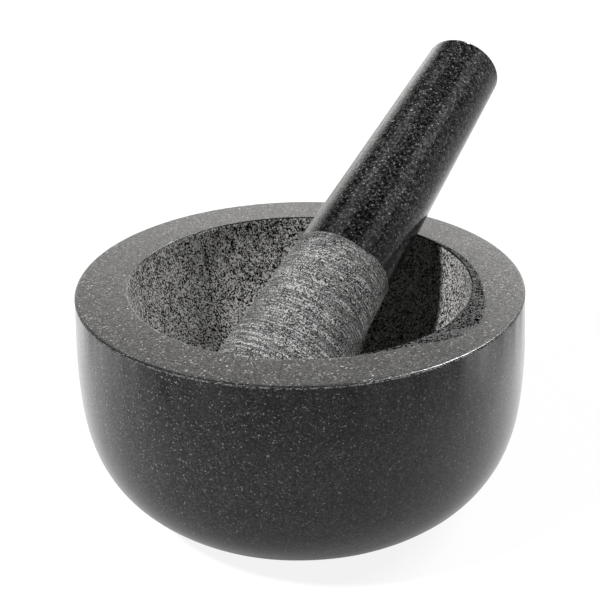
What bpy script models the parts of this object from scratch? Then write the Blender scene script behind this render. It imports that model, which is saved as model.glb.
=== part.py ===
"""A turned granite mortar with its pestle leaning in the bowl.

Metres, +Z up.  The origin is the centre of the mortar's flat foot, on the plane that it rests
on, and the front of the object faces -Y.  Each of the two pieces is one turned stone, so each
is a single closed mesh of revolution.  The mortar's rim departs from a plain turned shape in
two places: its outer edge was eased by hand, more at the front than at the back, and there is a
shallow hollow ground into the flat beside the hole.
"""

import math

import bmesh
import bpy
from mathutils import Vector

# Mortar: outside.
HEIGHT = 0.0740
RIM_RADIUS = 0.0700
FOOT_RADIUS = 0.0338
EDGE_WIDTH = 0.0013  # the eased outer edge of the rim, at the front
EDGE_DEPTH = 0.0006
EDGE_BACK_SHARE = 0.3  # how much of the easing is left at the back
SIDE_FLARE = 0.0058  # how far the side swells past the rim's radius, before it turns in
SIDE_STRAIGHTNESS = 4.85  # exponent on the depth below the rim: higher keeps the side upright
SIDE_ROUNDNESS = 1.72  # exponent on the radius: higher gives a squarer turn under the belly

# Mortar: inside.
HOLE_RADIUS = 0.0536
BOWL_DEPTH = 0.0530
BOWL_FULLNESS = 2.0  # 2 is an ellipse, and higher gives a rounder floor
LIP_ROUNDING = 0.0008

# The hollow ground into the flat rim beside the hole: a hump on top of a long narrow band.
HOLLOW_HUMP = 0.0061
HUMP_DIRECTION = math.radians(-39.0)
HUMP_SPREAD_TO_FRONT = math.radians(13.0)
HUMP_SPREAD_TO_BACK = math.radians(22.0)
HOLLOW_BAND = 0.0018
BAND_DIRECTION = math.radians(-20.0)
BAND_SPREAD = math.radians(50.0)
HOLLOW_DEPTH = 0.00025  # where the hollow is widest

# Pestle, from its top end down its own axis.
SHAFT_LENGTH = 0.1008
HEAD_LENGTH = 0.0655
TOP_RADIUS = 0.0136
COLLAR_RADIUS = 0.0167  # where the polished shaft meets the rough head
HEAD_RADIUS = 0.0189
HEAD_DOME = 0.0165  # the length of the rounded end
TOP_ROUNDING = 0.0018
TOP_CROWN = 0.0012  # how far the end face rises at its centre

# How the pestle leans.
LEAN = math.radians(62.07)  # its axis away from the vertical
LEAN_DIRECTION = math.radians(57.29)  # the way its top end points, from +X towards +Y
CROSSING = Vector((0.0152, 0.0137, HEIGHT))  # where its axis passes the plane of the rim
COLLAR_BELOW_CROSSING = 0.0028

# Fineness of the meshes.
MORTAR_SEGMENTS = 80
PESTLE_SEGMENTS = 44
SIDE_STEPS = 15
BOWL_STEPS = 15
ARC_STEPS = 4
DOME_STEPS = 8

SHARP_ANGLE = math.radians(32.0)


def clear_scene():
    """Take away whatever the file opened with."""
    for thing in list(bpy.data.objects):
        bpy.data.objects.remove(thing, do_unlink=True)


def steps(start, end, count):
    """count + 1 evenly spaced values from start to end."""
    return [start + (end - start) * i / count for i in range(count + 1)]


def turned_mesh(name, outline_at, segments):
    """A closed mesh swept about Z.

    outline_at(azimuth) returns (radius, height) pairs from the bottom centre, up the outside,
    and back to the axis.  The first and last pairs are on the axis.
    """
    bm = bmesh.new()
    azimuths = [2.0 * math.pi * i / segments for i in range(segments)]
    outlines = [outline_at(azimuth) for azimuth in azimuths]
    first = bm.verts.new((0.0, 0.0, outlines[0][0][1]))
    last = bm.verts.new((0.0, 0.0, outlines[0][-1][1]))
    columns = []
    for azimuth, outline in zip(azimuths, outlines):
        column = [
            bm.verts.new((radius * math.cos(azimuth), radius * math.sin(azimuth), height))
            for radius, height in outline[1:-1]
        ]
        columns.append(column)
    for i, column in enumerate(columns):
        following = columns[(i + 1) % segments]
        bm.faces.new((first, following[0], column[0]))
        for k in range(len(column) - 1):
            bm.faces.new((column[k], following[k], following[k + 1], column[k + 1]))
        bm.faces.new((column[-1], following[-1], last))
    bmesh.ops.recalc_face_normals(bm, faces=bm.faces)
    mesh = bpy.data.meshes.new(name)
    bm.to_mesh(mesh)
    bm.free()
    mesh.shade_smooth()
    mesh.set_sharp_from_angle(angle=SHARP_ANGLE)
    return mesh


def stone(name, colour, roughness):
    """A plain granite material."""
    material = bpy.data.materials.new(name)
    material.use_nodes = True
    shader = material.node_tree.nodes["Principled BSDF"]
    shader.inputs["Base Color"].default_value = (*colour, 1.0)
    shader.inputs["Roughness"].default_value = roughness
    shader.inputs["Metallic"].default_value = 0.0
    return material


def edge_share(azimuth):
    """How strongly the rim's outer edge is eased: fully at the front, least at the back."""
    to_back = 0.5 + 0.5 * math.sin(azimuth)
    return 1.0 - (1.0 - EDGE_BACK_SHARE) * to_back


def side_outline(azimuth):
    """The outside of the mortar, from the edge of the foot up to the eased edge."""
    top_share = EDGE_DEPTH * edge_share(azimuth) / HEIGHT
    top_angle = math.asin(top_share ** (SIDE_STRAIGHTNESS / 2.0))
    points = []
    for angle in steps(math.pi / 2.0, top_angle, SIDE_STEPS):
        depth_share = math.sin(angle) ** (2.0 / SIDE_STRAIGHTNESS)
        turned_in = max(0.0, math.cos(angle)) ** (2.0 / SIDE_ROUNDNESS)
        radius = FOOT_RADIUS + (RIM_RADIUS - FOOT_RADIUS) * turned_in
        radius += SIDE_FLARE * depth_share * (1.0 - depth_share)
        points.append((radius, HEIGHT * (1.0 - depth_share)))
    return points


def hollow_width(azimuth):
    """How far the ground hollow reaches past the rounded lip at this azimuth."""
    turn = math.remainder(azimuth - HUMP_DIRECTION, 2.0 * math.pi)
    spread = HUMP_SPREAD_TO_FRONT if turn < 0.0 else HUMP_SPREAD_TO_BACK
    hump = HOLLOW_HUMP * math.exp(-((turn / spread) ** 2))
    along = math.remainder(azimuth - BAND_DIRECTION, 2.0 * math.pi) / BAND_SPREAD
    return hump + HOLLOW_BAND * math.exp(-(along**4))


def rim_outline(azimuth):
    """The flat rim, the ground hollow and the rounded lip, from outside to inside."""
    width = hollow_width(azimuth)
    drop = HOLLOW_DEPTH * width / hollow_width(HUMP_DIRECTION)
    lip_start = HOLE_RADIUS + LIP_ROUNDING
    least_step = 0.0002  # keeps the hollow's outer ring apart from the lip where it has no width
    points = [(RIM_RADIUS - EDGE_WIDTH * edge_share(azimuth), HEIGHT)]
    points.append((lip_start + max(width, least_step), HEIGHT))
    for angle in steps(0.0, math.pi / 2.0, ARC_STEPS):
        radius = lip_start - LIP_ROUNDING * math.sin(angle)
        height = HEIGHT - drop - LIP_ROUNDING * (1.0 - math.cos(angle))
        points.append((radius, height))
    return points


def bowl_radius(depth):
    """The bowl's radius at a depth below the rim."""
    share = min(1.0, depth / BOWL_DEPTH)
    return HOLE_RADIUS * (1.0 - share**BOWL_FULLNESS) ** (1.0 / BOWL_FULLNESS)


def bowl_outline(start_height):
    """The inside of the bowl, from below the lip down to the centre of its floor."""
    start_share = (HEIGHT - start_height) / BOWL_DEPTH
    start_angle = math.asin(start_share ** (BOWL_FULLNESS / 2.0))
    points = []
    for angle in steps(start_angle, math.pi / 2.0, BOWL_STEPS)[1:-1]:
        depth = BOWL_DEPTH * math.sin(angle) ** (2.0 / BOWL_FULLNESS)
        points.append((bowl_radius(depth), HEIGHT - depth))
    points.append((0.0, HEIGHT - BOWL_DEPTH))
    return points


def mortar_outline(azimuth):
    rim = rim_outline(azimuth)
    return [(0.0, 0.0)] + side_outline(azimuth) + rim + bowl_outline(rim[-1][1])


def pestle_outline(_azimuth):
    """The pestle about its own axis, with the centre of its collar at the origin."""
    shoulder = -(HEAD_LENGTH - HEAD_DOME)
    points = [(0.0, -HEAD_LENGTH)]
    for angle in steps(math.pi / 2.0, 0.0, DOME_STEPS)[1:]:
        points.append((HEAD_RADIUS * math.cos(angle), shoulder - HEAD_DOME * math.sin(angle)))
    for share in steps(0.0, 1.0, 3)[1:]:
        radius = HEAD_RADIUS + (COLLAR_RADIUS - HEAD_RADIUS) * share
        points.append((radius, shoulder * (1.0 - share)))
    shaft_end = SHAFT_LENGTH - TOP_CROWN - TOP_ROUNDING
    for share in steps(0.0, 1.0, 4)[1:]:
        radius = COLLAR_RADIUS + (TOP_RADIUS - COLLAR_RADIUS) * share
        points.append((radius, shaft_end * share))
    for angle in steps(0.0, math.pi / 2.0, ARC_STEPS)[1:]:
        radius = TOP_RADIUS - TOP_ROUNDING * (1.0 - math.cos(angle))
        points.append((radius, shaft_end + TOP_ROUNDING * math.sin(angle)))
    points.append((0.0, SHAFT_LENGTH))
    return points


def add_object(name, mesh, material):
    mesh.materials.append(material)
    thing = bpy.data.objects.new(name, mesh)
    bpy.context.scene.collection.objects.link(thing)
    return thing


def build_mortar():
    mesh = turned_mesh("mortar", mortar_outline, MORTAR_SEGMENTS)
    return add_object("mortar", mesh, stone("mortar_granite", (0.055, 0.055, 0.057), 0.38))


def build_pestle(mortar):
    """The pestle under an empty that carries the lift, straight up from its leaning place."""
    axis = Vector((
        math.sin(LEAN) * math.cos(LEAN_DIRECTION),
        math.sin(LEAN) * math.sin(LEAN_DIRECTION),
        math.cos(LEAN),
    ))
    lift = bpy.data.objects.new("pestle_lift", None)
    bpy.context.scene.collection.objects.link(lift)
    lift.parent = mortar
    lift.location = CROSSING - axis * COLLAR_BELOW_CROSSING
    mesh = turned_mesh("pestle", pestle_outline, PESTLE_SEGMENTS)
    pestle = add_object("pestle", mesh, stone("pestle_granite", (0.045, 0.045, 0.047), 0.30))
    pestle.parent = lift
    pestle.rotation_euler = (0.0, LEAN, LEAN_DIRECTION)
    return pestle


def main():
    clear_scene()
    mortar = build_mortar()
    build_pestle(mortar)
    bpy.context.view_layer.update()


main()
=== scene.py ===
"""The looks of the granite mortar and pestle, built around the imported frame.

Both stones are turned in mesh code on the frame's own axes, with the surface each finish has:
polished sides, a satin rim, a rough bowl and a rough-turned pestle head.  Metres throughout.
"""

import math

import bpy
import numpy as np
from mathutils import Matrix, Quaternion, Vector, noise


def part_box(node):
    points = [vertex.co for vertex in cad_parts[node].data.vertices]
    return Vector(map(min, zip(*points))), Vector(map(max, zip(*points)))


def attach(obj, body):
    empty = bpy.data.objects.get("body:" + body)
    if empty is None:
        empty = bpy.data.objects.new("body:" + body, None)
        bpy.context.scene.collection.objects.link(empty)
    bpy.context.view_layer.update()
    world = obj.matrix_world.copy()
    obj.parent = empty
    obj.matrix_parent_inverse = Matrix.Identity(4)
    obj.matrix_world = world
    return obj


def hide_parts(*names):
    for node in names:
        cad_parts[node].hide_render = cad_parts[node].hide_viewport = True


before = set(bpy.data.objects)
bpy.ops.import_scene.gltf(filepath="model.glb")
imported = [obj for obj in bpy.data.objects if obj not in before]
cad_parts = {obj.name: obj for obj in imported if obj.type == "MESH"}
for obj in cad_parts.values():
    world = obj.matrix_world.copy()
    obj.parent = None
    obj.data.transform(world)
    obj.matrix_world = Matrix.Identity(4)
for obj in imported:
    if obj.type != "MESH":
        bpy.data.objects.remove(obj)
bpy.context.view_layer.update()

MM = 0.001

# The mortar's turned profile, on the frame's origin and height.
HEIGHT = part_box("mortar")[1].z
RIM_RADIUS = 70.0 * MM
FOOT_RADIUS = 33.8 * MM
EDGE_WIDTH = 1.3 * MM
EDGE_DEPTH = 0.6 * MM
EDGE_BACK_SHARE = 0.3
SIDE_FLARE = 5.8 * MM
SIDE_STRAIGHTNESS = 4.85
SIDE_ROUNDNESS = 1.72
HOLE_RADIUS = 53.6 * MM
BOWL_DEPTH = 53.0 * MM
LIP_ROUNDING = 0.8 * MM
HOLLOW_HUMP = 6.1 * MM
HOLLOW_DEPTH = 0.25 * MM
HUMP_DIRECTION = math.radians(-39.0)
HUMP_SPREAD_TO_FRONT = math.radians(13.0)
HUMP_SPREAD_TO_BACK = math.radians(22.0)
HOLLOW_BAND = 1.8 * MM
BAND_DIRECTION = math.radians(-20.0)
BAND_SPREAD = math.radians(50.0)
RIDGE_DIRECTION = math.radians(-50.0)
RIDGE_TURN = math.radians(13.0)
RIDGE_SPREAD = math.radians(2.6)

# The pestle's turned profile, measured along its axis from its top end.
SHAFT_LENGTH = 100.8 * MM
TOP_RADIUS = 13.6 * MM
COLLAR_RADIUS = 16.7 * MM
HEAD_RADIUS = 18.9 * MM
HEAD_DOME = 16.5 * MM
TOP_ROUNDING = 1.8 * MM
TOP_CROWN = 1.2 * MM

# How deep and how fine the surface of each finish is.
SIDE_WAVE = 0.05 * MM
BOWL_UNEVENNESS = 0.12 * MM
BOWL_PITS = 0.36 * MM
EDGE_CHIPS = 0.05 * MM
SHAFT_WAVE = 0.03 * MM
TOOL_MARKS = 0.07 * MM
TOOL_MARK_PITCH = 1.05 * MM
HEAD_GRAIN = 0.05 * MM
HEAD_PITS = 0.22 * MM
COLLAR_RAGGEDNESS = 0.7 * MM

MORTAR_SEGMENTS = 400
PESTLE_SEGMENTS = 180


# ---------------------------------------------------------------- mesh tools


def smooth_step(low, high, values):
    """0 below low, rising smoothly to 1 above high."""
    share = np.clip((np.asarray(values, float) - low) / (high - low), 0.0, 1.0)
    return share * share * (3.0 - 2.0 * share)


def noise_at(points, wavelength, octaves, seed):
    """Smooth noise from about -1 to 1 at each point of an array (..., 3)."""
    flat = points.reshape(-1, 3) / wavelength + (seed * 7.31, seed * 3.17, seed * 5.93)
    values = [noise.fractal(Vector(p), 1.0, 2.0, octaves) for p in flat.tolist()]
    return np.array(values).reshape(points.shape[:-1])


def ring_positions(radius, height, azimuths):
    """Points of the rings: radius and height are (rings, segments)."""
    return np.stack([radius * np.cos(azimuths), radius * np.sin(azimuths), height], axis=-1)


def ring_normals(points):
    """Outward normals of a grid of rings that runs from the bottom up the outside."""
    along = np.gradient(points, axis=0)
    around = np.roll(points, -1, axis=1) - np.roll(points, 1, axis=1)
    normals = np.cross(around, along)
    length = np.linalg.norm(normals, axis=-1, keepdims=True)
    return normals / np.maximum(length, 1e-12)


def turned_mesh(name, points, masks):
    """A closed mesh of rings.  The first and last rings are points on the axis."""
    rings, segments = points.shape[:2]
    body = points[1:-1].reshape(-1, 3)
    first, last = len(body), len(body) + 1
    vertices = np.vstack([body, points[0].mean(axis=0), points[-1].mean(axis=0)])
    faces = []
    for ring in range(rings - 3):
        low, high = ring * segments, (ring + 1) * segments
        for i in range(segments):
            j = (i + 1) % segments
            faces.append((low + i, low + j, high + j, high + i))
    top = (rings - 3) * segments
    for i in range(segments):
        j = (i + 1) % segments
        faces.append((first, j, i))
        faces.append((top + i, top + j, last))
    mesh = bpy.data.meshes.new(name)
    mesh.from_pydata(vertices.tolist(), [], faces)
    mesh.validate()
    for mask_name, values in masks.items():
        attribute = mesh.attributes.new(mask_name, "FLOAT", "POINT")
        flat = np.concatenate([values[1:-1].ravel(), values[0, :1], values[-1, :1]])
        attribute.data.foreach_set("value", flat.astype(np.float32))
    mesh.shade_smooth()
    thing = bpy.data.objects.new(name, mesh)
    bpy.context.scene.collection.objects.link(thing)
    return thing


# ---------------------------------------------------------------- the mortar


def edge_share(azimuths):
    """How strongly the rim's outer edge is eased: fully at the front, least at the back."""
    return 1.0 - (1.0 - EDGE_BACK_SHARE) * (0.5 + 0.5 * np.sin(azimuths))


def side_rings(azimuths):
    """(radius, height) up the outside, from the edge of the foot to the eased edge."""
    top_share = EDGE_DEPTH * edge_share(azimuths) / HEIGHT
    top_angle = np.arcsin(top_share ** (SIDE_STRAIGHTNESS / 2.0))
    for share in np.linspace(0.0, 1.0, 64):
        angle = math.pi / 2.0 + (top_angle - math.pi / 2.0) * share
        depth = np.sin(angle) ** (2.0 / SIDE_STRAIGHTNESS)
        turned_in = np.maximum(0.0, np.cos(angle)) ** (2.0 / SIDE_ROUNDNESS)
        radius = FOOT_RADIUS + (RIM_RADIUS - FOOT_RADIUS) * turned_in
        yield radius + SIDE_FLARE * depth * (1.0 - depth), HEIGHT * (1.0 - depth)


def turn_from(azimuths, direction):
    """The turn from direction to each azimuth, from -pi to pi."""
    return np.remainder(azimuths - direction + math.pi, 2.0 * math.pi) - math.pi


def hollow_width(azimuths):
    """How far the hollow ground into the rim reaches past the rounded lip."""
    turn = turn_from(azimuths, HUMP_DIRECTION)
    spread = np.where(turn < 0.0, HUMP_SPREAD_TO_FRONT, HUMP_SPREAD_TO_BACK)
    along = turn_from(azimuths, BAND_DIRECTION)
    hump = HOLLOW_HUMP * np.exp(-((turn / spread) ** 2))
    return hump + HOLLOW_BAND * np.exp(-((along / BAND_SPREAD) ** 4))


class Rings:
    """Collects the mortar's rings with the finish that each one has."""

    FINISHES = ("polished", "satin", "rough", "ground", "edge")

    def __init__(self, azimuths):
        self.azimuths = azimuths
        self.radius, self.height = [], []
        self.finish = {finish: [] for finish in self.FINISHES}

    def add(self, radius, height, **finish):
        around = np.ones_like(self.azimuths)
        self.radius.append(around * radius)
        self.height.append(around * height)
        for name in self.FINISHES:
            self.finish[name].append(around * finish.get(name, 0.0))

    def arrays(self):
        masks = {name: np.array(values) for name, values in self.finish.items()}
        return np.array(self.radius), np.array(self.height), masks


def grinding_ridge(azimuths, share):
    """The paler ridge between the two strokes that made the hollow, curving out to its tip."""
    middle = RIDGE_DIRECTION + RIDGE_TURN * (1.0 - share) ** 0.7
    return np.exp(-((turn_from(azimuths, middle) / RIDGE_SPREAD) ** 2))


def mortar_rings(azimuths):
    """The foot, the side, the eased edge, the rim's flat, the hollow, the lip and the bowl."""
    rings = Rings(azimuths)
    for radius in np.linspace(0.0, FOOT_RADIUS, 12)[:-1]:
        rings.add(radius, 0.0, rough=0.5)
    for radius, height in side_rings(azimuths):
        rings.add(radius, height, polished=1.0)
    edge = edge_share(azimuths)
    for share in np.linspace(0.0, 1.0, 9)[1:-1]:
        angle = share * math.pi / 2.0
        radius = RIM_RADIUS - EDGE_WIDTH * edge * (1.0 - math.cos(angle))
        height = HEIGHT - EDGE_DEPTH * edge * (1.0 - math.sin(angle))
        rings.add(radius, height, edge=float(share < 0.4))
    width = hollow_width(azimuths)
    drop = HOLLOW_DEPTH * width / hollow_width(np.array([HUMP_DIRECTION]))
    lip_start = HOLE_RADIUS + LIP_ROUNDING
    outer, inner = RIM_RADIUS - EDGE_WIDTH * edge, lip_start + width
    for share in np.linspace(0.0, 1.0, 15)[:-1]:
        rings.add(outer + (inner - outer) * share, HEIGHT, satin=1.0)
    for share in np.linspace(0.0, 1.0, 12):
        amount = np.clip(width / MM, 0.0, 1.0) * smooth_step(-0.05, 0.12, share)
        amount = amount * (1.0 - 0.75 * grinding_ridge(azimuths, share))
        height = HEIGHT - drop * smooth_step(0.0, 1.1, share)
        rings.add(lip_start + width * (1.0 - share), height, satin=1.0 - amount, ground=amount)
    drop = drop * smooth_step(0.0, 1.1, 1.0)
    for angle in np.linspace(0.0, math.pi / 2.0, 8)[1:]:
        radius = lip_start - LIP_ROUNDING * math.sin(angle)
        height = HEIGHT - drop - LIP_ROUNDING * (1.0 - math.cos(angle))
        rings.add(radius, height, rough=smooth_step(0.7, 1.3, angle))
    start = (LIP_ROUNDING + drop) / BOWL_DEPTH
    for share in np.linspace(0.0, 1.0, 132)[1:]:
        angle = np.arcsin(start) + (math.pi / 2.0 - np.arcsin(start)) * share
        rings.add(HOLE_RADIUS * np.cos(angle), HEIGHT - BOWL_DEPTH * np.sin(angle), rough=1.0)
    return rings.arrays()


def build_mortar():
    azimuths = np.linspace(0.0, 2.0 * math.pi, MORTAR_SEGMENTS, endpoint=False)
    radius, height, masks = mortar_rings(azimuths)
    points = ring_positions(radius, height, azimuths)
    normals = ring_normals(points)
    # The bowl was cut with a rough wheel, the outer edge was eased by hand, and even the
    # polished side is not quite true.  Waves only go inward, so the stone keeps its size.
    wave = SIDE_WAVE * (noise_at(points, 18.0 * MM, 2, 1.0) - 1.2)
    coarse = noise_at(points, 2.6 * MM, 2, 2.0)
    pits = smooth_step(0.35, 0.65, noise_at(points, 1.4 * MM, 1, 3.0))
    rough = BOWL_UNEVENNESS * coarse - BOWL_PITS * pits
    chips = EDGE_CHIPS * noise_at(points, 1.3 * MM, 2, 4.0)
    offset = wave * masks["polished"] + rough * masks["rough"]
    offset += chips * (masks["edge"] + 0.4 * masks["ground"])
    # The foot stays flat.
    offset[points[..., 2] < 0.2 * MM] = 0.0
    offset[0] = offset[-1] = 0.0
    thing = turned_mesh("mortar_stone", points + normals * offset[..., None], masks)
    thing.data.materials.append(mortar_material())
    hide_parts("mortar")
    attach(thing, "mortar")


# ---------------------------------------------------------------- the pestle


def pestle_axis():
    """The centres of the pestle's top and bottom ends, from the frame's own solid."""
    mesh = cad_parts["pestle"].data
    points = np.array([v.co for v in mesh.vertices], float)
    centre = points.mean(axis=0)
    axis = np.linalg.svd(points - centre, full_matrices=False)[2][0]
    axis *= math.copysign(1.0, axis[2])
    along = (points - centre) @ axis
    return points[along.argmax()], points[along.argmin()]


def pestle_rings(length):
    """(radius, distance above the collar) from the bottom end to the top end."""
    head_length = length - SHAFT_LENGTH
    shoulder = -(head_length - HEAD_DOME)
    rows = []
    for angle in np.linspace(math.pi / 2.0, 0.0, 96):
        rows.append((HEAD_RADIUS * math.cos(angle), shoulder - HEAD_DOME * math.sin(angle)))
    for share in np.linspace(0.0, 1.0, 230)[1:]:
        rows.append((HEAD_RADIUS + (COLLAR_RADIUS - HEAD_RADIUS) * share, shoulder * (1.0 - share)))
    shaft_end = SHAFT_LENGTH - TOP_CROWN - TOP_ROUNDING
    for share in np.linspace(0.0, 1.0, 90)[1:]:
        share = share**1.3
        rows.append((COLLAR_RADIUS + (TOP_RADIUS - COLLAR_RADIUS) * share, shaft_end * share))
    for angle in np.linspace(0.0, math.pi / 2.0, 12)[1:]:
        radius = TOP_RADIUS - TOP_ROUNDING * (1.0 - math.cos(angle))
        rows.append((radius, shaft_end + TOP_ROUNDING * math.sin(angle)))
    flat = TOP_RADIUS - TOP_ROUNDING
    for share in np.linspace(1.0, 0.0, 14)[1:]:
        rows.append((flat * share, SHAFT_LENGTH - TOP_CROWN * share**2))
    return np.array(rows)


def build_pestle():
    top, bottom = pestle_axis()
    length = float(np.linalg.norm(top - bottom))
    axis = (top - bottom) / length
    rows = pestle_rings(length)
    azimuths = np.linspace(0.0, 2.0 * math.pi, PESTLE_SEGMENTS, endpoint=False)
    around = np.ones_like(azimuths)
    radius, above = rows[:, :1] * around, rows[:, 1:] * around
    points = ring_positions(radius, above, azimuths)
    normals = ring_normals(points)
    ragged = COLLAR_RAGGEDNESS * noise_at(points, 5.0 * MM, 3, 5.0)
    rough_share = 1.0 - smooth_step(-0.25 * MM, 0.25 * MM, above + ragged)
    # Rings left by the turning tool on the head, patchy where the stone broke out.
    drift = 0.25 * noise_at(points, 6.0 * MM, 1, 6.0)
    phase = 2.0 * math.pi * (above / TOOL_MARK_PITCH + drift)
    patch = smooth_step(-0.25, 0.45, noise_at(points, 7.0 * MM, 2, 7.0))
    tool_marks = TOOL_MARKS * np.sin(phase) * (0.3 + 0.7 * patch)
    grain = HEAD_GRAIN * noise_at(points, 1.5 * MM, 2, 8.0)
    pits = HEAD_PITS * smooth_step(0.4, 0.75, noise_at(points, 1.7 * MM, 1, 9.0))
    wave = SHAFT_WAVE * (noise_at(points, 15.0 * MM, 1, 10.0) - 1.2)
    offset = wave * (1.0 - rough_share) + (tool_marks + grain - pits) * rough_share
    offset[0] = offset[-1] = 0.0
    local = points + normals * offset[..., None]
    masks = {"rough": rough_share, "above": above / MM, "turn": np.ones_like(above) * azimuths}
    # Stand the turned piece on the frame's axis.
    turn = Vector((0.0, 0.0, 1.0)).rotation_difference(Vector(axis)).to_matrix()
    collar = bottom + axis * (length - SHAFT_LENGTH)
    placed = local @ np.array(turn).T + collar
    thing = turned_mesh("pestle_stone", placed, masks)
    thing.data.materials.append(pestle_material())
    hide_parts("pestle")
    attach(thing, "pestle")


# ---------------------------------------------------------------- materials


class Graph:
    """Short ways to add and join shader nodes."""

    def __init__(self, tree):
        self.tree = tree

    def feed(self, socket, value):
        """Give the socket a link or a plain value."""
        if isinstance(value, bpy.types.NodeSocket):
            self.tree.links.new(value, socket)
        else:
            socket.default_value = value

    def add(self, kind, **settings):
        node = self.tree.nodes.new(kind)
        for name, value in settings.items():
            setattr(node, name, value)
        return node

    def math(self, operation, a, b=0.0):
        node = self.add("ShaderNodeMath", operation=operation)
        self.feed(node.inputs[0], a)
        self.feed(node.inputs[1], b)
        return node.outputs[0]

    def times(self, a, b):
        return self.math("MULTIPLY", a, b)

    def plus(self, a, b):
        return self.math("ADD", a, b)

    def scale(self, vector, factor):
        """A vector or a colour times a number."""
        node = self.add("ShaderNodeVectorMath", operation="SCALE")
        self.feed(node.inputs[0], vector)
        self.feed(node.inputs["Scale"], factor)
        return node.outputs["Vector"]

    def split(self, vector):
        """The X, Y and Z of a vector."""
        node = self.add("ShaderNodeSeparateXYZ")
        self.feed(node.inputs[0], vector)
        return node.outputs["X"], node.outputs["Y"], node.outputs["Z"]

    def ramp(self, value, low, high, to_low=0.0, to_high=1.0):
        """Smooth change of value from low to high."""
        node = self.add("ShaderNodeMapRange", interpolation_type="SMOOTHSTEP")
        for socket, number in zip(node.inputs, (value, low, high, to_low, to_high)):
            self.feed(socket, number)
        return node.outputs[0]

    def mix(self, share, a, b):
        """Mix of two numbers."""
        node = self.add("ShaderNodeMix", data_type="FLOAT")
        for socket, value in zip(node.inputs[:1] + node.inputs[2:4], (share, a, b)):
            self.feed(socket, value)
        return node.outputs[0]

    def mix_colour(self, share, a, b):
        """Mix of two colours, each a node's or (red, green, blue)."""
        node = self.add("ShaderNodeMix", data_type="RGBA")
        for socket, value in zip((node.inputs[0], node.inputs[6], node.inputs[7]), (share, a, b)):
            self.feed(socket, (*value, 1.0) if isinstance(value, tuple) else value)
        return node.outputs[2]

    def attribute(self, name):
        return self.add("ShaderNodeAttribute", attribute_name=name).outputs["Fac"]

    def place(self):
        """Position on the stone, in millimetres."""
        return self.scale(self.add("ShaderNodeTexCoord").outputs["Object"], 1.0 / MM)

    def noise(self, place, size, detail=2.0, sharpness=0.5):
        """Noise with features of about size, in millimetres."""
        node = self.add("ShaderNodeTexNoise")
        self.feed(node.inputs["Vector"], place)
        self.feed(node.inputs["Scale"], 1.0 / size)
        self.feed(node.inputs["Detail"], detail)
        self.feed(node.inputs["Roughness"], sharpness)
        return node.outputs["Fac"]

    def grains(self, place, size):
        """Crystals of about size, with a random number for each."""
        node = self.add("ShaderNodeTexVoronoi")
        self.feed(node.inputs["Vector"], place)
        self.feed(node.inputs["Scale"], 1.0 / size)
        split = self.add("ShaderNodeSeparateColor")
        self.feed(split.inputs[0], node.outputs["Color"])
        return split.outputs[0]

    def bump(self, height, distance, strength):
        """The normal of a surface with this fine relief."""
        node = self.add("ShaderNodeBump")
        self.feed(node.inputs["Height"], height)
        self.feed(node.inputs["Strength"], strength)
        self.feed(node.inputs["Distance"], distance)
        return node.outputs[0]


def new_look(name):
    """A material with its node graph and its shader."""
    material = bpy.data.materials.new(name)
    material.use_nodes = True
    graph = Graph(material.node_tree)
    return material, graph, graph.tree.nodes["Principled BSDF"]


class Grain:
    """The crystals of dark granite: fine ones, ragged pale flakes and slow clouds."""

    def __init__(self, graph, place):
        self.graph = graph
        self.fine = graph.grains(place, 0.40)
        self.flake = graph.noise(place, 0.62, 1.0)
        self.cloud = graph.noise(place, 6.0, 3.0)

    def polished(self, dark, light, share):
        """Wet-looking black and grey grain; a larger share makes more pale flakes."""
        graph = self.graph
        grey = graph.ramp(self.fine, 0.1, 0.95, 0.35, 1.9)
        grey = graph.times(grey, graph.ramp(self.cloud, 0.3, 0.7, 0.75, 1.25))
        pale = graph.ramp(self.flake, 0.62 - 0.1 * share, 0.72 - 0.1 * share)
        pale = graph.times(pale, graph.ramp(self.fine, 0.2, 0.9))
        return graph.mix_colour(pale, graph.scale(dark, grey), light)

    def shine(self, low, high):
        """Crystals that took the polish differently."""
        return self.graph.ramp(self.fine, 0.0, 1.0, low, high)


def rough_colour(graph, place, dark, light, size):
    """Bruised granite: pale powdery crystals with black ones between.

    Gives the colour and the pattern of the crystals, 0 for a black one and 1 for a pale one.
    """
    coarse = graph.times(graph.grains(place, size), 0.6)
    fine = graph.times(graph.grains(place, 0.6 * size), 0.4)
    patches = graph.ramp(graph.noise(place, 5.0, 3.0), 0.3, 0.7, -0.06, 0.06)
    speckle = graph.ramp(graph.plus(graph.plus(coarse, fine), patches), 0.37, 0.70)
    return graph.mix_colour(speckle, dark, light), speckle


def ragged_mask(graph, name, jitter):
    """Where the stone has the finish called name, with a border that wanders with jitter."""
    return graph.ramp(graph.plus(graph.attribute(name), jitter), 0.35, 0.65)


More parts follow.
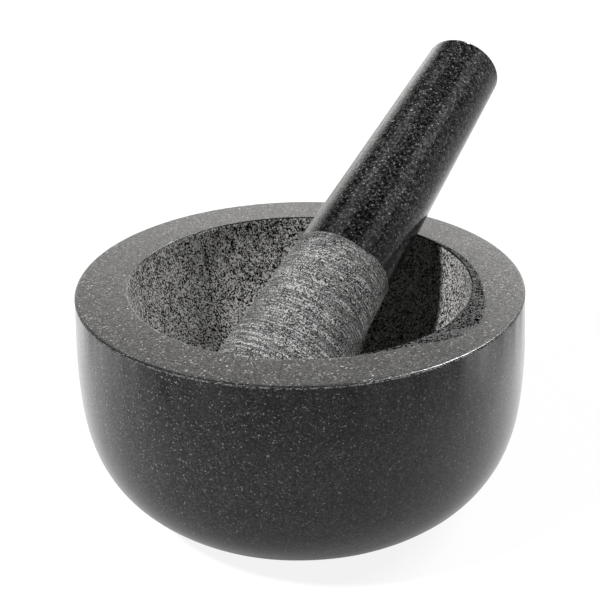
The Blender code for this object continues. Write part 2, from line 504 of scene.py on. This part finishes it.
def mortar_material():
    material, graph, shader = new_look("mortar_granite_look")
    place = graph.place()
    grain = Grain(graph, place)
    polished = grain.polished((0.0085, 0.0085, 0.0088), (0.17, 0.17, 0.167), 0.12)
    satin = grain.polished((0.006, 0.0059, 0.0055), (0.30, 0.288, 0.270), 0.15)
    # The bowl's bruised crystals are a little taller than wide.
    upright = graph.add("ShaderNodeVectorMath", operation="MULTIPLY")
    graph.feed(upright.inputs[0], place)
    graph.feed(upright.inputs[1], (1.0, 1.0, 0.75))
    black, pale = (0.001, 0.001, 0.001), (0.415, 0.409, 0.395)
    rough, speckle = rough_colour(graph, upright.outputs[0], black, pale, 0.40)
    bruised = graph.mix_colour(speckle, (0.006, 0.006, 0.006), (0.11, 0.11, 0.108))
    ground = graph.mix_colour(speckle, (0.0, 0.0, 0.0), (0.04, 0.04, 0.0395))
    jitter = graph.ramp(graph.noise(place, 0.9, 2.0), 0.25, 0.75, -0.35, 0.35)
    is_satin = ragged_mask(graph, "satin", jitter)
    is_ground = ragged_mask(graph, "ground", jitter)
    is_edge = ragged_mask(graph, "edge", jitter)
    is_rough = ragged_mask(graph, "rough", graph.times(jitter, 0.5))
    colour = graph.mix_colour(is_satin, polished, satin)
    colour = graph.mix_colour(is_ground, colour, ground)
    colour = graph.mix_colour(is_edge, colour, bruised)
    colour = graph.mix_colour(is_rough, colour, rough)
    graph.feed(shader.inputs["Base Color"], colour)
    dull = graph.mix(is_satin, 0.26, 0.28)
    dull = graph.mix(is_edge, dull, 0.5)
    dull = graph.mix(is_ground, dull, 0.5)
    dull = graph.mix(is_rough, dull, 0.85)
    graph.feed(shader.inputs["Roughness"], dull)
    shine = graph.mix(is_satin, grain.shine(0.40, 0.62), grain.shine(0.24, 0.78))
    shine = graph.mix(is_edge, shine, 0.3)
    shine = graph.mix(is_ground, shine, graph.ramp(speckle, 0.3, 0.9, 0.0, 0.42))
    graph.feed(shader.inputs["Specular IOR Level"], graph.mix(is_rough, shine, 0.15))
    relief = graph.plus(graph.noise(place, 0.7, 3.0, 0.7), graph.times(speckle, 0.35))
    strength = graph.mix(is_edge, graph.mix(is_ground, 0.05, 0.6), 0.15)
    strength = graph.mix(is_rough, strength, 1.0)
    graph.feed(shader.inputs["Normal"], graph.bump(relief, 0.45 * MM, strength))
    return material


def round_the_pestle(graph, stretch):
    """A place on the pestle that changes slowly around it and fast along it, in millimetres."""
    turn = graph.attribute("turn")
    rings = graph.add("ShaderNodeCombineXYZ")
    reach = HEAD_RADIUS / MM / stretch
    graph.feed(rings.inputs[0], graph.times(graph.math("SINE", turn), reach))
    graph.feed(rings.inputs[1], graph.times(graph.math("COSINE", turn), reach))
    graph.feed(rings.inputs[2], graph.attribute("above"))
    return rings.outputs[0]


def pestle_material():
    material, graph, shader = new_look("pestle_granite_look")
    place = graph.place()
    grain = Grain(graph, place)
    above = graph.attribute("above")
    polished = grain.polished((0.0115, 0.0115, 0.0118), (0.125, 0.125, 0.1225), 0.50)
    # The polished shaft is mottled, and its colour is darkened just above the collar, a painted
    # shade.
    mottle_and_shade = graph.ramp(graph.noise(place, 1.1, 2.0, 0.6), 0.40, 0.60, 0.15, 1.35)
    mottle_and_shade = graph.times(mottle_and_shade, graph.ramp(above, 4.0, 30.0, 0.55, 1.0))
    # The turning tool's strokes go round the head, which dulls towards the collar.
    rough, speckle = rough_colour(graph, place, (0.002, 0.002, 0.002), (0.325, 0.325, 0.32), 0.30)
    strokes = graph.ramp(graph.noise(round_the_pestle(graph, 30.0), 0.5, 0.0), 0.40, 0.58)
    fresh = graph.ramp(above, -9.0, 0.0, 1.0, 0.62)
    shade = graph.times(graph.ramp(strokes, 0.0, 1.0, 0.40, 1.0), fresh)
    rough = graph.mix_colour(shade, (0.03, 0.03, 0.03), rough)
    jitter = graph.ramp(graph.noise(place, 1.0, 2.0), 0.25, 0.75, -0.3, 0.3)
    is_rough = ragged_mask(graph, "rough", jitter)
    colour = graph.mix_colour(is_rough, graph.scale(polished, mottle_and_shade), rough)
    graph.feed(shader.inputs["Base Color"], colour)
    graph.feed(shader.inputs["Roughness"], graph.mix(is_rough, 0.18, 0.8))
    shine = graph.times(grain.shine(0.2, 0.6), graph.ramp(mottle_and_shade, 0.15, 1.3, 0.7, 1.15))
    shine = graph.mix(is_rough, shine, 0.15)
    graph.feed(shader.inputs["Specular IOR Level"], shine)
    relief = graph.plus(graph.noise(place, 0.6, 3.0, 0.7), graph.times(strokes, 0.8))
    relief = graph.plus(relief, graph.times(speckle, 0.3))
    strength = graph.mix(is_rough, 0.03, 0.7)
    graph.feed(shader.inputs["Normal"], graph.bump(relief, 0.3 * MM, strength))
    return material


# ---------------------------------------------------------------- studio


def direction(azimuth, elevation):
    """Unit vector; azimuth from +X towards +Y, both in degrees."""
    a, e = math.radians(azimuth), math.radians(elevation)
    return Vector((math.cos(e) * math.cos(a), math.cos(e) * math.sin(a), math.sin(e)))


def add_sun(name, azimuth, elevation, strength, spread, on_matt=True):
    """A distant lamp that lights the matt part of a surface, or only makes a glint on it."""
    sun = bpy.data.lights.new(name, "SUN")
    sun.energy = strength
    sun.angle = math.radians(spread)
    thing = bpy.data.objects.new(name, sun)
    bpy.context.scene.collection.objects.link(thing)
    thing.rotation_mode = "QUATERNION"
    thing.rotation_quaternion = direction(azimuth, elevation).to_track_quat("Z", "Y")
    thing.visible_glossy = not on_matt
    thing.visible_diffuse = on_matt


def from_behind(graph, way):
    """0 for a way that points to the front, rising to 1 for one that points behind."""
    return graph.ramp(graph.split(way)[1], -1.3, 1.0)


def build_floor():
    """A sheet of white paper, which the stone mirrors duller than the camera sees it."""
    size = 30.0
    mesh = bpy.data.meshes.new("floor")
    corners = [(-size, -size, 0.0), (size, -size, 0.0), (size, size, 0.0), (-size, size, 0.0)]
    mesh.from_pydata(corners, [], [(0, 1, 2, 3)])
    floor = bpy.data.objects.new("floor", mesh)
    bpy.context.scene.collection.objects.link(floor)
    material, graph, shader = new_look("floor_paper")
    shader.inputs["Roughness"].default_value = 1.0
    shader.inputs["Specular IOR Level"].default_value = 0.0
    rays = graph.add("ShaderNodeLightPath")
    seen, mirrored = rays.outputs["Is Camera Ray"], rays.outputs["Is Glossy Ray"]
    shader.inputs["Base Color"].default_value = (0.10, 0.10, 0.10, 1.0)
    shader.inputs["Emission Color"].default_value = (1.0, 1.0, 1.0, 1.0)
    place = graph.add("ShaderNodeNewGeometry").outputs["Position"]
    flat = graph.add("ShaderNodeVectorMath", operation="NORMALIZE")
    graph.feed(flat.inputs[0], place)
    reach = graph.add("ShaderNodeVectorMath", operation="LENGTH")
    graph.feed(reach.inputs[0], place)
    # The paper glows for mirrored rays, a painted glow that is brightest close to the stone and
    # behind it.
    near = graph.ramp(reach.outputs["Value"], 0.27, 0.14, 0.04, 0.37)
    far = graph.ramp(reach.outputs["Value"], 0.10, 0.45, 1.30, 0.65)
    painted_glow = graph.times(from_behind(graph, flat.outputs[0]), far)
    painted_glow = graph.times(graph.plus(painted_glow, near), mirrored)
    graph.feed(shader.inputs["Emission Strength"], graph.mix(seen, painted_glow, 0.88))
    mesh.materials.append(material)


def build_world():
    """Bright low walls behind the table, dimmer in front and dark overhead."""
    world = bpy.data.worlds.new("studio")
    world.use_nodes = True
    bpy.context.scene.world = world
    graph = Graph(world.node_tree)
    background = graph.tree.nodes["Background"]
    way = graph.add("ShaderNodeTexCoord").outputs["Generated"]
    to_right, to_back, upward = graph.split(way)
    low = graph.ramp(upward, 0.30, 0.66, 1.0, 0.0)
    back = graph.times(graph.ramp(to_back, 0.68, 0.90), 1.48)
    back = graph.times(back, graph.plus(graph.times(to_right, 0.8), 1.0))
    walls = graph.times(from_behind(graph, way), 0.45)
    walls = graph.plus(graph.times(graph.plus(graph.plus(walls, back), 0.25), low), 0.02)
    seen = graph.add("ShaderNodeLightPath").outputs["Is Camera Ray"]
    graph.feed(background.inputs["Strength"], graph.mix(seen, walls, 1.0))
    tint = graph.mix_colour(seen, (1.0, 0.985, 0.965), (1.0, 1.0, 1.0))
    graph.feed(background.inputs["Color"], tint)


def build_camera():
    """Above the front of the rim, aimed a little below the rim's centre."""
    elevation, distance, lens = 23.99, 0.36383, 69.28
    aim_below, roll = 1.058, -0.96
    rim_centre = Vector((0.0, 0.0, HEIGHT))
    camera = bpy.data.cameras.new("camera")
    camera.sensor_width = 36.0
    camera.lens = lens
    camera.clip_start = 0.01
    camera.clip_end = 100.0
    thing = bpy.data.objects.new("camera", camera)
    bpy.context.scene.collection.objects.link(thing)
    thing.location = rim_centre + direction(-90.0, elevation) * distance
    pitch = math.radians(90.0 - elevation - aim_below)
    thing.rotation_mode = "QUATERNION"
    tilt = Quaternion((1.0, 0.0, 0.0), pitch)
    thing.rotation_quaternion = tilt @ Quaternion((0.0, 0.0, 1.0), math.radians(roll))
    bpy.context.scene.camera = thing


def build_studio():
    build_floor()
    build_world()
    # Two lamps light the matt stone; the other three only draw glints on its polish.
    add_sun("key", 209.0, 52.0, 6.4, 7.0)
    add_sun("side", 20.0, 45.0, 4.3, 34.0)
    add_sun("glint_right", 0.0, 45.0, 0.16, 24.0, on_matt=False)
    add_sun("glint_top", 138.0, 68.0, 0.24, 32.0, on_matt=False)
    add_sun("glint_edge", 65.0, 45.0, 1.2, 9.0, on_matt=False)
    build_camera()
    bpy.context.scene.view_settings.view_transform = "Standard"


build_mortar()
build_pestle()
build_studio()
